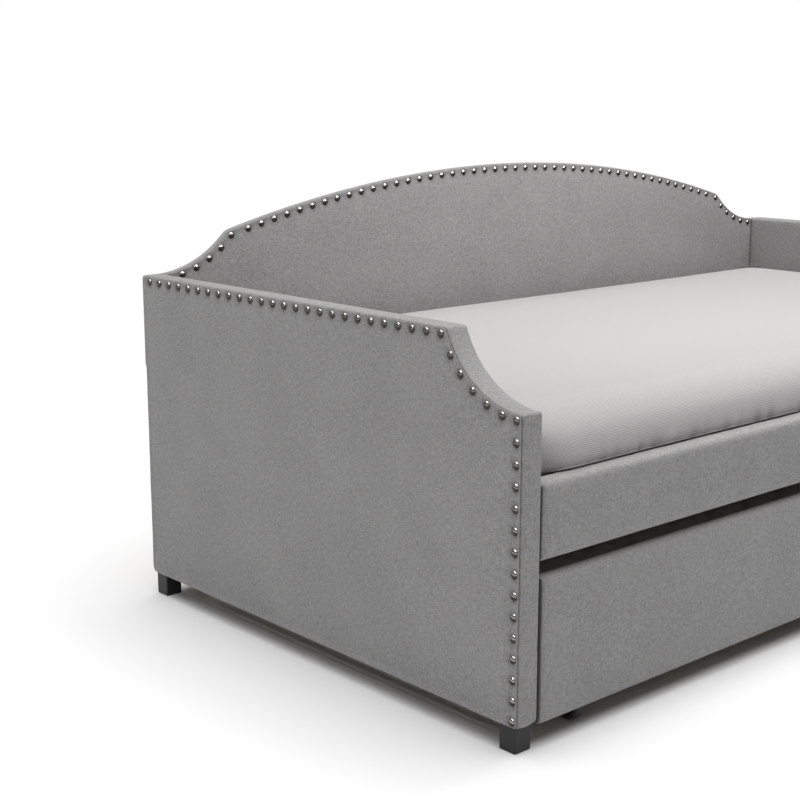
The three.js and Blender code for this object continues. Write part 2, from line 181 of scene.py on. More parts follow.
def back_spans(inset):
    """The back panel's front view: bottom, right end, ear, scoop, crown, scoop, ear and left end."""
    low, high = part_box("back_cover")
    half = high.x - inset
    bottom, ear = low.z + inset, BACK_EAR_TOP - inset
    scoop_radius, crown_radius = BACK_SCOOP + inset, BACK_CROWN_RADIUS - inset
    scoop_z, crown_z = BACK_EAR_TOP + BACK_SCOOP, high.z - BACK_CROWN_RADIUS
    on_scoop, on_crown = shoulder_angles(scoop_radius, crown_radius, crown_z)
    on_scoop = on_scoop % (2 * math.pi) - 2 * math.pi
    past_ear = math.asin(max(0, (BACK_SCOOP_START - half) / scoop_radius))
    start = -math.pi / 2 - past_ear
    right = arc((BACK_SCOOP_START, scoop_z), scoop_radius, start, on_scoop)
    crown = arc((0, crown_z), crown_radius, on_crown, math.pi - on_crown)
    left = arc((-BACK_SCOOP_START, scoop_z), scoop_radius, -math.pi - on_scoop, -math.pi - start)
    ear = right[1](0)[1]
    return [
        straight((-half, bottom), (half, bottom)),
        straight((half, bottom), (half, ear)),
        joined(straight((half, ear), right[1](0)), right),
        crown,
        joined(left, straight(left[1](1), (-half, ear))),
        straight((-half, ear), (-half, bottom)),
    ]


def board_spans(node):
    """The front view of a straight padded board."""
    low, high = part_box(node)

    def spans(inset):
        x0, x1, z0, z1 = low.x + inset, high.x - inset, low.z + inset, high.z - inset
        corners = [(x0, z0), (x1, z0), (x1, z1), (x0, z1)]
        return [straight(corners[i], corners[(i + 1) % 4]) for i in range(4)]
    return spans


def ring(spans, cuts, counts, turn_steps=5):
    """Points round an outline. cuts is how far each corner is rounded back, from the start of each span."""
    points = []
    for i, ((length, at), count) in enumerate(zip(spans, counts)):
        next_length, next_at = spans[(i + 1) % len(spans)]
        next_cut = cuts[(i + 1) % len(spans)]
        first = min(cuts[i] / max(length, 1e-6), 0.45)
        last = 1 - min(next_cut / max(length, 1e-6), 0.45)
        points += [at(first + (last - first) * k / count) for k in range(count + 1)]
        p, corner = at(last), at(1)
        q = next_at(min(next_cut / max(next_length, 1e-6), 0.45))
        for k in range(1, turn_steps):
            t = k / turn_steps
            weights = ((1 - t) ** 2, 2 * t * (1 - t), t * t)
            points.append(tuple(sum(w * c[j] for w, c in zip(weights, (p, corner, q))) for j in (0, 1)))
    return points


# ---- Mesh making ----

def add_piece(name, points, faces, material, body, slot):
    """A mesh object of these points and faces, smooth and facing outwards, riding on a body."""
    mesh = bpy.data.meshes.new(name)
    mesh.from_pydata([tuple(p) for p in points], [], faces)
    turned = bmesh.new()
    turned.from_mesh(mesh)
    bmesh.ops.recalc_face_normals(turned, faces=turned.faces)
    turned.to_mesh(mesh)
    turned.free()
    for polygon in mesh.polygons:
        polygon.use_smooth = True
    piece = bpy.data.objects.new(name, mesh)
    bpy.context.scene.collection.objects.link(piece)
    mesh.materials.append(material)
    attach(piece, body)
    return piece


def set_values(piece, name, values):
    """A number at each point of a piece, for its material to read."""
    layers = piece.data.attributes
    layer = layers[name] if name in layers else layers.new(name, "FLOAT", "POINT")
    layer.data.foreach_set("value", np.asarray(values, np.float32))


def tube_faces(rings, count):
    """Quads between rings of count points each, and a face over the first and the last ring."""
    faces = []
    for r in range(rings - 1):
        for i in range(count):
            j = (i + 1) % count
            faces.append((r * count + i, r * count + j, (r + 1) * count + j, (r + 1) * count + i))
    last = (rings - 1) * count
    return faces + [list(range(count)), list(range(last, last + count))]


def ripple(points, seed, size):
    """A smooth random value from -1 to 1 at each point, in waves of about that size."""
    rng = np.random.default_rng(seed)
    total = np.zeros(len(points))
    for _ in range(10):
        direction = rng.normal(size=3)
        direction *= 2 * math.pi / (size * np.linalg.norm(direction))
        total += np.sin(points @ direction + rng.uniform(0, 2 * math.pi))
    return total / 4.5


# ---- Upholstered panels ----

# The section through a panel's edge: inset from the outline and depth below the outer face, in mm.
# The cloth swells in the middle of the face and dips along the row of nails.
NAILED_FACE = [
    (85, -0.6), (55, -0.5), (40, -0.3), (31, 0.0), (25, 0.4), (20.5, 0.8), (17, 1.15), (14, 1.5), (11.5, 1.7),
    (9.2, 1.65), (7, 1.35), (5, 0.9), (3.4, 0.6), (2.0, 0.5), (1.0, 0.8), (0.5, 1.4), (0.6, 2.0),
]
SEAM = [(1.5, 2.5), (2.3, 2.9), (1.8, 3.3), (0.4, 4.0)]
SEAM_SHADE = dict(zip(SEAM, (1.0, 1.0, 1.0, 0.6)))
PLAIN_EDGE = [(-0.4, 6.4), (0, 4.4), (0.9, 2.7), (2.2, 1.3), (4, 0.4), (6.5, -0.2), (11, -0.5), (25, -0.5)]
PLAIN_EDGE += [(55, -0.5), (85, -0.5)]


def panel_section(thickness):
    """Nailed outer face, seam, crowned edge band and plain inner face."""
    band = []
    first, last = SEAM[-1][1] + 2, thickness - 8
    for k in range(8):
        share = k / 7
        band.append((-0.2 - 1.6 * math.sin(math.pi * share), first + (last - first) * share))
    inner = [(inset, thickness - depth) for inset, depth in PLAIN_EDGE]
    return NAILED_FACE + SEAM + band + inner


def board_section(thickness, height):
    """A softly padded front with rounded edges, and a flat rear face."""
    deepest = 0.42 * height
    front = [(deepest, -1.2), (0.75 * deepest, -1.15), (36, -0.9), (24, -0.5), (15, 0.0), (10, 0.6)]
    front += [(6.5, 1.6), (4.0, 3.0), (2.1, 4.8), (0.8, 7.0), (0.1, 9.6)]
    rear = [(0, thickness - 9), (0.7, thickness - 5.5), (2.6, thickness - 2.4), (5.5, thickness - 0.6)]
    return front + rear + [(9, thickness), (30, thickness), (deepest, thickness)]


def near_nails(points, nails):
    """How near each point is to a nail, from 0 to 1 right under it."""
    near = np.zeros(len(points))
    for nail in nails:
        apart = np.linalg.norm(points - np.array(nail), axis=1)
        near = np.maximum(near, np.exp(-((apart / NAIL_DIMPLE) ** 2)))
    return near


def upholstered(name, spans, cuts, section, place, nails, linen, node, body):
    """A padded panel: rings of its outline at each step of its section, pulled in under its nails."""
    counts = [max(2, round(length / OUTLINE_STEP)) for length, _ in spans(0)]
    points, seam, inset_of = [], [], []
    for inset, depth in section:
        outline = ring(spans(inset * MM), cuts, counts)
        points += [place(u, v, depth * MM) for u, v in outline]
        seam += [SEAM_SHADE.get((inset, depth), 0.0)] * len(outline)
        inset_of += [inset] * len(outline)
    count = len(points) // len(section)
    points = np.array(points)
    inward = np.array(place(0, 0, 1)) - np.array(place(0, 0, 0))
    near = near_nails(points, nails)
    wave = PANEL_WAVE * (ripple(points, len(name), 0.16) + 0.5 * ripple(points, len(name) + 7, 0.05))
    wave *= np.clip(2 - np.array(inset_of) / 42, 0, 1)
    points += np.outer(NAIL_PULL * near + wave, inward)
    piece = add_piece(name, points, tube_faces(len(section), count), linen, body, "upholstery")
    # painted shade along the seam and round each nail
    set_values(piece, "painted_shade", np.maximum(np.array(seam), near))
    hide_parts(node)
    return piece


def nail_heads(name, nails, normal, material, body):
    """Domed nailheads, all facing the same way."""
    steps = 14
    profile = [(1.0, -0.25), (1.04, 0.08), (0.97, 0.34), (0.82, 0.62), (0.58, 0.84), (0.3, 0.96)]
    turn = Vector((0, 0, 1)).rotation_difference(Vector(normal)).to_matrix()
    points, faces = [], []
    for nail in nails:
        base = len(points)
        for radius, height in profile:
            for k in range(steps):
                angle = 2 * math.pi * k / steps
                local = Vector((radius * math.cos(angle), radius * math.sin(angle), 0)) * NAIL_RADIUS
                local.z = height * NAIL_HEIGHT
                points.append(Vector(nail) + turn @ local)
        points.append(Vector(nail) + turn @ Vector((0, 0, NAIL_HEIGHT)))
        top = len(points) - 1
        for r in range(len(profile) - 1):
            for k in range(steps):
                j = (k + 1) % steps
                row, up = base + r * steps, base + (r + 1) * steps
                faces.append((row + k, row + j, up + j, up + k))
        last = base + (len(profile) - 1) * steps
        faces += [(last + k, last + (k + 1) % steps, top) for k in range(steps)]
        faces.append([base + k for k in range(steps)][::-1])
    piece = add_piece(name, points, faces, material, body, "zinc_steel")
    # painted highlight and painted shade: how far each point of a nail faces the fixed highlight side
    set_values(piece, "painted highlight side", np.clip(normals_of(piece) @ PAINTED_HIGHLIGHT_SIDE, -1, 1))


def spaced(first, last, count):
    return [first + (last - first) * k / (count - 1) for k in range(count)]


def arm_nails():
    """Where the nails go on an arm, in its side view: along the top, round the scoop and down the post."""
    low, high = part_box("left_arm_cover")
    spans = arm_spans(NAIL_INSET)
    top = high.z - NAIL_INSET
    scoop_start = spans[2][1](1)[0]
    row = [(y, top) for y in spaced(high.y - 21 * MM, scoop_start + 5 * MM, 26)]
    row += [spans[3][1](s) for s in (0.17, 0.34, 0.51, 0.68, 0.85)]
    post = low.y + NAIL_INSET
    return row + [(post, z) for z in spaced(POST_TOP - 9 * MM, low.z + 9 * MM, 15)]


def back_nails():
    """Where the nails go on the back panel, in its front view: ear, scoop and crown, from both ends."""
    spans = back_spans(NAIL_INSET)
    crown = [spans[3][1](s) for s in (0, *spaced(0.027, 0.973, 46), 1)]
    left = [spans[4][1](s) for s in (0.165, 0.33, 0.495, 0.66, 0.825, 0.96)]
    right = [(-x, z) for x, z in left]
    return crown + left + right


def make_arm(side, linen, nickel):
    """An arm's upholstery and the nails on its outer face."""
    low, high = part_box(f"{side}_arm_cover")
    sign = 1 if side == "left" else -1
    face_at = low.x if side == "left" else high.x

    def place(u, v, depth):
        return face_at + sign * depth, u, v
    nails = [place(u, v, NAILED_CLOTH) for u, v in arm_nails()]
    cuts = [6 * MM, 14 * MM, 9 * MM, 5 * MM, 5 * MM]
    section = panel_section((high.x - low.x) / MM)
    upholstered(f"{side}_arm_upholstery", arm_spans, cuts, section, place, nails, linen,
                f"{side}_arm_cover", "bedframe")
    seated = [place(u, v, NAIL_FOOT) for u, v in arm_nails()]
    nail_heads(f"{side}_arm_nails", seated, (-sign, 0, 0), nickel, "bedframe")


def make_back(linen, nickel):
    """The back panel's upholstery and the nails on its front face."""
    low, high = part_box("back_cover")

    def place(u, v, depth):
        return u, low.y + depth, v
    nails = [place(u, v, NAILED_CLOTH) for u, v in back_nails()]
    cuts = [8 * MM, 8 * MM, 6 * MM, 12 * MM, 12 * MM, 6 * MM]
    section = panel_section((high.y - low.y) / MM)
    upholstered("back_upholstery", back_spans, cuts, section, place, nails, linen, "back_cover", "bedframe")
    seated = [place(u, v, NAIL_FOOT) for u, v in back_nails()]
    nail_heads("back_nails", seated, (0, -1, 0), nickel, "bedframe")


def make_board(name, body, linen):
    """A straight padded board, its ends drawn in below the top, with painted shade in the gap beside the arms.
    """
    node = f"{name}_cover"
    low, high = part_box(node)

    def place(u, v, depth):
        return u, low.y + depth, v
    section = board_section((high.y - low.y) / MM, (high.z - low.z) / MM)
    cuts = [BOARD_CORNER] * 4
    piece = upholstered(f"{name}_upholstery", board_spans(node), cuts, section, place, [], linen, node, body)
    points = points_of(piece)
    below_top = points[:, 2] < high.z - 4 * MM
    behind_face = points[:, 1] > low.y + 1.5 * MM
    at_end = np.clip(1 - (high.x - np.abs(points[:, 0])) / BOARD_END, 0, 1) * below_top
    points[:, 0] -= np.sign(points[:, 0]) * BOARD_END_PULL * at_end
    place_points(piece, points)
    # painted shade on the board's ends, in the gap beside the arms
    painted_gap_shade = np.clip((at_end - 0.72) * 8, 0, 1) * behind_face
    set_values(piece, "painted_shade", 1.6 * painted_gap_shade)


# ---- Materials ----

class Num:
    """A number in a material's node tree. Arithmetic on it adds Math nodes."""

    def __init__(self, paint, socket):
        self.paint, self.socket = paint, socket

    def math(self, operation, *others):
        return self.paint.node("ShaderNodeMath", {"operation": operation}, dict(enumerate((self, *others))))

    def __add__(self, other):
        return self.math("ADD", other)

    def __sub__(self, other):
        return self.math("SUBTRACT", other)

    def __mul__(self, other):
        return self.math("MULTIPLY", other)

    def __truediv__(self, other):
        return self.math("DIVIDE", other)

    def __rsub__(self, other):
        return self.paint.node("ShaderNodeMath", {"operation": "SUBTRACT"}, {0: other, 1: self})

    __radd__ = __add__
    __rmul__ = __mul__

    def ramp(self, low, high, out_low=0.0, out_high=1.0):
        """This number carried smoothly from low..high to out_low..out_high."""
        values = {"Value": self, "From Min": low, "From Max": high, "To Min": out_low, "To Max": out_high}
        return self.paint.node("ShaderNodeMapRange", {"interpolation_type": "SMOOTHSTEP"}, values)


class Paint:
    """A material with one Principled shader, whose constant values are set on its own sockets."""

    def __init__(self, name, **surface):
        self.material = bpy.data.materials.new(name)
        self.material.use_nodes = True
        self.tree = self.material.node_tree
        self.shader = self.tree.nodes["Principled BSDF"]
        for socket, value in surface.items():
            self.shader.inputs[socket.replace("_", " ")].default_value = value

    def node(self, kind, settings=None, values=None, out=0):
        """Adds a node: its settings first, then the values or links of its sockets. Gives its output."""
        made = self.tree.nodes.new(kind)
        for key, value in (settings or {}).items():
            setattr(made, key, value)
        for key, value in (values or {}).items():
            if isinstance(value, Num):
                self.tree.links.new(value.socket, made.inputs[key])
            else:
                made.inputs[key].default_value = value
        return Num(self, made.outputs[out])

    def place(self):
        return self.node("ShaderNodeTexCoord", out="Object")

    def axis(self, place, name):
        return self.node("ShaderNodeSeparateXYZ", values={0: place}, out=name)

    def grain(self, place, scale, detail=2.0, rough=0.5):
        """Noise stretched by a scale along each axis, from 0 to 1."""
        stretched = self.node("ShaderNodeVectorMath", {"operation": "MULTIPLY"}, {0: place, 1: scale})
        values = {"Vector": stretched, "Scale": 1.0, "Detail": detail, "Roughness": rough}
        return self.node("ShaderNodeTexNoise", values=values)

    def value_at(self, name):
        return self.node("ShaderNodeAttribute", {"attribute_name": name}, out="Fac")

    def mix(self, share, first, second):
        """A colour between two colours."""
        values = {0: share, 6: (*first, 1) if isinstance(first, tuple) else first}
        values[7] = (*second, 1) if isinstance(second, tuple) else second
        return self.node("ShaderNodeMix", {"data_type": "RGBA"}, values, out=2)

    def feed(self, **sockets):
        for socket, value in sockets.items():
            self.tree.links.new(value.socket, self.shader.inputs[socket.replace("_", " ")])

    def bump(self, height, distance, strength=1.0):
        values = {"Height": height, "Distance": distance, "Strength": strength}
        self.feed(Normal=self.node("ShaderNodeBump", values=values))


def linen_paint():
    """Grey heathered linen: short slubs along and across, a fine speckle, and painted shade in seams, round
    nails and in the gaps beside the arms.
    """
    sheen = {"Sheen_Weight": 0.12, "Sheen_Roughness": 0.5}
    paint = Paint("grey_linen", Roughness=0.92, Specular_IOR_Level=0.2, **sheen)
    place = paint.place()
    along, across = 115.0, 700.0
    slubs_x = paint.grain(place, (along, across, across), 2.0)
    slubs_y = paint.grain(place, (across, along, across), 2.0)
    slubs_z = paint.grain(place, (across, across, along), 2.0)
    speckle = paint.grain(place, (880.0, 880.0, 880.0), 2.0)
    cloud = paint.grain(place, (9.0, 9.0, 9.0), 3.0)
    heather = (slubs_x + slubs_y + slubs_z + speckle) / 4
    tone = heather.ramp(0.38, 0.62) * 0.9 + cloud.ramp(0.3, 0.7) * 0.1
    colour = paint.mix(tone, LINEN_DARK, LINEN_PALE)
    # painted shade where the points are marked: seams, nail dimples and the gaps beside the arms
    shaded = paint.mix(paint.value_at("painted_shade") * 0.6, colour, LINEN_PAINTED_SHADE)
    paint.feed(Base_Color=shaded)
    weave = sum_of_sines(paint, place, 2 * math.pi / THREAD_PITCH)
    paint.bump(heather * 1.6 + weave * 0.1, 0.0007, 0.5)
    return paint.material


def sum_of_sines(paint, place, rate):
    """Threads running across each other: a sine along each axis."""
    total = None
    for name in "XYZ":
        wave = (paint.axis(place, name) * rate).math("SINE")
        total = wave if total is None else total + wave
    return total


def nickel_paint():
    """Dark nickel with a painted highlight on one fixed side of every nail and painted shade on the other."""
    paint = Paint("dark_nickel", Metallic=1.0, Roughness=0.2)
    place = paint.place()
    tarnish = paint.grain(place, (260.0, 260.0, 260.0), 3.0)
    # painted highlight on the fixed side of each nail and painted shade on the other, broken up by tarnish
    bright = paint.value_at("painted highlight side").ramp(0.3, 0.78) * tarnish.ramp(0.15, 0.45, 0.6, 1.0)
    paint.feed(Base_Color=paint.mix(bright, (0.055, 0.047, 0.04), (0.78, 0.76, 0.74)))
    paint.feed(Roughness=tarnish.ramp(0.2, 0.8, 0.12, 0.24))
    return paint.material


def sheet_paint():
    """Off-white percale with fine grey lines that run along the bed."""
    paint = Paint("lined_sheet", Roughness=0.85, Sheen_Weight=0.15, Specular_IOR_Level=0.3)
    place = paint.place()
    run = paint.value_at("run")
    wander = paint.grain(place, (3.0, 40.0, 40.0), 2.0)
    line = ((run + wander * 0.0012) * (2 * math.pi / SHEET_LINE_PITCH)).math("SINE")
    dashes = paint.grain(place, (160.0, 300.0, 300.0), 2.0)
    mark = line.ramp(0.1, 0.95) * dashes.ramp(0.2, 0.6, 0.7, 1.0)
    lined = paint.mix(mark, SHEET_PALE, SHEET_LINE)
    # painted shade in the tucks along the front rail
    paint.feed(Base_Color=paint.mix(paint.value_at("painted_shade"), lined, SHEET_TUCK_SHADE))
    threads = sum_of_sines(paint, place, 2 * math.pi / 0.0009)
    paint.bump(threads * 0.2 + dashes, 0.0003, 0.4)
    return paint.material


def ticking_paint():
    """Knitted white mattress cloth."""
    paint = Paint("knitted_ticking", Roughness=0.9, Sheen_Weight=0.2, Specular_IOR_Level=0.3)
    place = paint.place()
    knit = paint.grain(place, (500.0, 500.0, 500.0), 3.0)
    cloud = paint.grain(place, (9.0, 9.0, 9.0), 2.0)
    painted_shade = paint.value_at("painted_shade")
    cloth = paint.mix(knit.ramp(0.3, 0.7) * 0.7 + cloud * 0.3, (0.60, 0.595, 0.585), (0.76, 0.755, 0.745))
    # painted shade where the points are marked: puckers, quilting stitches and piping
    paint.feed(Base_Color=paint.mix(painted_shade * 0.35, cloth, (0.40, 0.39, 0.38)))
    paint.bump(knit, 0.0006, 0.5)
    return paint.material


def wood_paint(name, pale, dark, scale):
    """Sanded timber, its grain running along the axis where the scale is small."""
    paint = Paint(name, Roughness=0.6, Specular_IOR_Level=0.35)
    place = paint.place()
    grain = paint.grain(place, scale, 5.0, 0.6)
    fine = paint.grain(place, tuple(4 * s for s in scale), 2.0)
    tone = grain.ramp(0.32, 0.68) * 0.75 + fine * 0.25
    paint.feed(Base_Color=paint.mix(tone, dark, pale), Roughness=fine.ramp(0.2, 0.8, 0.5, 0.7))
    paint.bump(tone, 0.0004, 0.4)
    return paint.material


def foot_paint():
    """Black satin lacquer."""
    paint = Paint("black_satin", Roughness=0.42, Specular_IOR_Level=0.45)
    place = paint.place()
    speck = paint.grain(place, (420.0, 420.0, 420.0), 3.0)
    paint.feed(Base_Color=paint.mix(speck, (0.008, 0.008, 0.008), (0.016, 0.016, 0.016)))
    paint.feed(Roughness=speck.ramp(0.2, 0.8, 0.36, 0.5))
    paint.bump(speck, 0.0002, 0.3)
    return paint.material


def zinc_paint():
    """Zinc plating with a faint spangle."""
    paint = Paint("zinc_plate", Metallic=1.0, Roughness=0.35)
    place = paint.place()
    spangle = paint.grain(place, (130.0, 130.0, 130.0), 4.0)
    paint.feed(Base_Color=paint.mix(spangle, (0.48, 0.49, 0.50), (0.70, 0.71, 0.72)))
    paint.feed(Roughness=spangle.ramp(0.3, 0.7, 0.28, 0.46))
    paint.bump(spangle, 0.0002, 0.3)
    return paint.material


def tread_paint():
    """Black rubber, scuffed grey."""
    paint = Paint("caster_tread", Roughness=0.6, Specular_IOR_Level=0.35)
    place = paint.place()
    scuff = paint.grain(place, (180.0, 180.0, 180.0), 4.0)
    paint.feed(Base_Color=paint.mix(scuff.ramp(0.3, 0.7), (0.025, 0.025, 0.027), (0.06, 0.06, 0.063)))
    paint.feed(Roughness=scuff.ramp(0.3, 0.7, 0.5, 0.75))
    paint.bump(scuff, 0.0003, 0.4)
    return paint.material


# ---- Mattresses and the sheet ----

def soft_block(low, high, corner, edge, step):
    """The points and quads of a closed block, rounded by corner in plan and by edge above and below."""
    low, high = np.array(low), np.array(high)
    cells = [max(4, round(s / step)) for s in high - low]
    index, points, faces = {}, [], []

    def point(key):
        if key not in index:
            index[key] = len(points)
            points.append(low + (high - low) * np.array(key) / cells)
        return index[key]
    for axis in range(3):
        a, b = (axis + 1) % 3, (axis + 2) % 3
        for end in (0, cells[axis]):
            for m in range(cells[a]):
                for n in range(cells[b]):
                    quad = []
                    for dm, dn in ((0, 0), (1, 0), (1, 1), (0, 1)):
                        key = [0, 0, 0]
                        key[axis], key[a], key[b] = end, m + dm, n + dn
                        quad.append(point(tuple(key)))
                    faces.append(quad)
    radii = np.array([corner, corner, edge])
    points = np.array(points)
    core = np.clip(points, low + radii, high - radii)
    off = (points - core) / radii
    length = np.maximum(np.linalg.norm(off, axis=1), 1e-9)
    reach = np.abs(off).max(axis=1)
    return core + off * radii * (reach / length)[:, None], faces


def inflate(piece, pressure, most):
    """Swells a piece as stuffed cloth, by a cloth simulation, and lets no point move further than most."""
    before = points_of(piece)
    cloth = piece.modifiers.new("swell", "CLOTH").settings
    cloth.quality = 4
    cloth.mass = 0.4
    cloth.tension_stiffness = cloth.compression_stiffness = 15
    cloth.bending_stiffness = 4
    cloth.use_pressure = True
    cloth.uniform_pressure_force = pressure
    cloth.effector_weights.gravity = 0
    for step in range(1, SWELL_STEPS + 1):
        bpy.context.scene.frame_set(step)
    swollen = piece.evaluated_get(bpy.context.evaluated_depsgraph_get())
    after = points_of(swollen)
    piece.modifiers.clear()
    bpy.context.scene.frame_set(1)
    move = after - before
    far = np.maximum(np.linalg.norm(move, axis=1), 1e-9)
    place_points(piece, before + move * (np.minimum(far, most) / far)[:, None])


def place_points(piece, points):
    piece.data.vertices.foreach_set("co", np.asarray(points, np.float32).ravel())
    piece.data.update()


def points_of(piece):
    return np.array([v.co for v in piece.data.vertices])


def normals_of(piece):
    return np.array([v.normal for v in piece.data.vertices])


def add_smoothing(piece):
    finer = piece.modifiers.new("finer", "SUBSURF")
    finer.levels = finer.render_levels = 1


def refine(piece):
    """Divides each of a piece's faces in four, smoothly."""
    add_smoothing(piece)
    fine = bpy.data.meshes.new_from_object(piece.evaluated_get(bpy.context.evaluated_depsgraph_get()))
    piece.modifiers.clear()
    piece.data = fine


def swell_over_rail(points, low, high):
    """Carries the mattress's front forward above the front rail and puckers it along the rail's top.

    Gives each point's share of a pucker's shade.
    """
    rail_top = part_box("front_rail_cover")[1].z + RAIL_CLEARANCE
    rows = 2 * round((high.z - low.z) / MATTRESS_STEP)
    row = (high.z - low.z - 2 * MATTRESS_ROOM[2]) / rows
    x, y, z = points.T
    corner_start = high.x - MATTRESS_ROOM[0] - MATTRESS_CORNER
    turn = np.clip((np.abs(x) - corner_start) / MATTRESS_CORNER, 0, 1)
    set_back = MATTRESS_CORNER * (1 - np.sqrt(1 - turn**2))
    near_front = np.clip(1 - (y - low.y - set_back) / SWELL_REACH, 0, 1) ** 1.5
    above = z > rail_top
    height = np.clip((z - rail_top) / (high.z - rail_top), 0, 1)
    along = points * [1, 0.2, 0.1]
    tuck = ripple(along, 61, 0.026) + 0.6 * ripple(along, 67, 0.045)
    low_down = above * np.exp(-((height / 0.2) ** 2)) * near_front
    forward = (MATTRESS_OVERHANG + 0.75 * set_back) * (1 - height**2) * near_front * above
    front = near_front > 0.55
    lowest = above & front & (z < rail_top + row)
    next_down = ~above & front & (z > rail_top - row)
    points[:, 1] -= forward + PUCKER * tuck * low_down
    points[lowest, 2] = rail_top + (1.1 + np.clip(tuck[lowest], -1, 1)) * MM
    points[next_down, 2] = rail_top
    points[next_down, 1] = low.y + 1 * MM
    return PUCKER_SHADE * low_down * np.clip(-tuck, 0, 1)


def make_mattress(ticking):
    """The top mattress, swollen, kept to its space but for its swell over the front rail."""
    low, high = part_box("mattress")
    room = Vector(MATTRESS_ROOM)
    block = soft_block(low + room, high - room, MATTRESS_CORNER, MATTRESS_EDGE, MATTRESS_STEP)
    piece = add_piece("mattress_pad", *block, ticking, "bedframe", "ticking")
    inflate(piece, pressure=4, most=8 * MM)
    refine(piece)
    kept_low = np.array(low) + np.array((2.5, 2.5, 2.5)) * MM
    kept_high = np.array(high) - np.array((2.5, 3, 1.5)) * MM
    points = np.clip(points_of(piece), kept_low, kept_high)
    tucks = swell_over_rail(points, low, high)
    place_points(piece, points)
    # painted shade in the puckers' valleys along the rail
    set_values(piece, "painted_shade", tucks)
    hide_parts("mattress")
    return piece


def make_sheet(pad, percale):
    """The fitted sheet: the mattress's top and sides and a hem turned under it, gathered on its elastic."""
    low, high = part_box("mattress")
    hem = SHEET_HEM_UNDER
    points, normals = points_of(pad), normals_of(pad)
    under = points[:, 2] < low.z + 6 * MM
    from_low, from_high = points[:, :2] - np.array(low[:2]), np.array(high[:2]) - points[:, :2]
    to_edge = np.minimum(np.abs(from_low), np.abs(from_high)).min(axis=1)
    kept = ~(under & (to_edge > hem))
    faces = [tuple(p.vertices) for p in pad.data.polygons if all(kept[v] for v in p.vertices)]
    used = sorted({v for face in faces for v in face})
    new = {old: k for k, old in enumerate(used)}
    points, normals = points[used], normals[used]
    tuck_shade = np.array([pad.data.attributes["painted_shade"].data[k].value for k in used])
    faces = [[new[v] for v in face] for face in faces]
    side = np.clip(1 - normals[:, 2] ** 2 * 1.3, 0, 1)
    drop = np.clip((high.z - points[:, 2] - SHEET_TUCKS_FROM) / SHEET_TUCKS_FULL, 0, 1)
    tucks = ripple(points * [1, 1, 0.12], 41, 0.085) + 0.7 * ripple(points * [1, 1, 0.2], 43, 0.04)
    sag = ripple(points, 47, 0.5) + 0.5 * ripple(points, 53, 0.22)
    lift = SHEET_GAP + 0.5 * MM + side * drop * SHEET_TUCKS * (tucks + 0.6)
    lift = np.maximum(lift + SHEET_SAG * sag * (normals[:, 2] > 0.5), SHEET_GAP)
    lift[points[:, 2] < low.z + 8 * MM] = SHEET_GAP
    rail_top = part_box("front_rail_cover")[1].z
    at_rail = (points[:, 1] < low.y + 10 * MM) & (points[:, 2] < rail_top + 12 * MM)
    lift[at_rail] = SHEET_GAP
    sheet = add_piece("fitted_sheet", points + normals * lift[:, None], faces, percale, "bedframe", "sheet")
    over = np.sign(points[:, 1]) * np.clip(np.abs(normals[:, 1]) * 1.4, 0, 1)
    set_values(sheet, "run", points[:, 1] - over * (points[:, 2] - high.z))
    # painted shade of the puckers, carried over from the mattress
    set_values(sheet, "painted_shade", tuck_shade)
    thicken(sheet, SHEET_THICKNESS)
    return sheet


def thicken(piece, thickness):
    """Smooths a sheet of cloth and gives it its thickness, outwards."""
    add_smoothing(piece)
    thick = piece.modifiers.new("thickness", "SOLIDIFY")
    thick.thickness = thickness
    thick.offset = 1


def make_trundle_mattress(ticking):
    """The trundle's mattress: knitted cloth quilted in diamonds, with a piped edge above and below."""
    low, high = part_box("trundle_mattress")
    room = Vector(TRUNDLE_MATTRESS_ROOM)
    shape = (TRUNDLE_MATTRESS_CORNER, TRUNDLE_MATTRESS_EDGE, TRUNDLE_MATTRESS_STEP)
    block = soft_block(low + room, high - room, *shape)
    piece = add_piece("trundle_mattress_pad", *block, ticking, "trundle", "ticking")
    inflate(piece, pressure=3, most=6 * MM)
    refine(piece)
    points, normals = points_of(piece), normals_of(piece)
    one, two = points[:, 0] + points[:, 1], points[:, 0] - points[:, 1]
    rows = [np.abs((row / QUILT_PITCH + 0.5) % 1 - 0.5) * QUILT_PITCH for row in (one, two)]
    stitch = np.exp(-((np.minimum(*rows) / QUILT_SEAM) ** 2)) * (np.abs(normals[:, 2]) > 0.6)
    points -= normals * (stitch * QUILT_DEPTH)[:, None]
    points[:, 2] = np.maximum(points[:, 2], low.z + 0.4 * MM)
    points[:, 2] = np.minimum(points[:, 2], high.z + 2 * MM)
    place_points(piece, points)
    # painted shade along the sunken quilting stitches
    set_values(piece, "painted_shade", stitch)
    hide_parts("trundle_mattress")
    for name, height in (("upper", high.z - PIPING_FROM_EDGE), ("lower", low.z + PIPING_FROM_EDGE)):
        make_piping(f"trundle_mattress_{name}_piping", piece, height, ticking)


def outward(line, k):
    """The outward direction at a point of a closed line that runs anticlockwise."""
    (x0, y0), (x1, y1) = line[k - 1], line[(k + 1) % len(line)]
    return Vector((y1 - y0, x0 - x1, 0)).normalized()


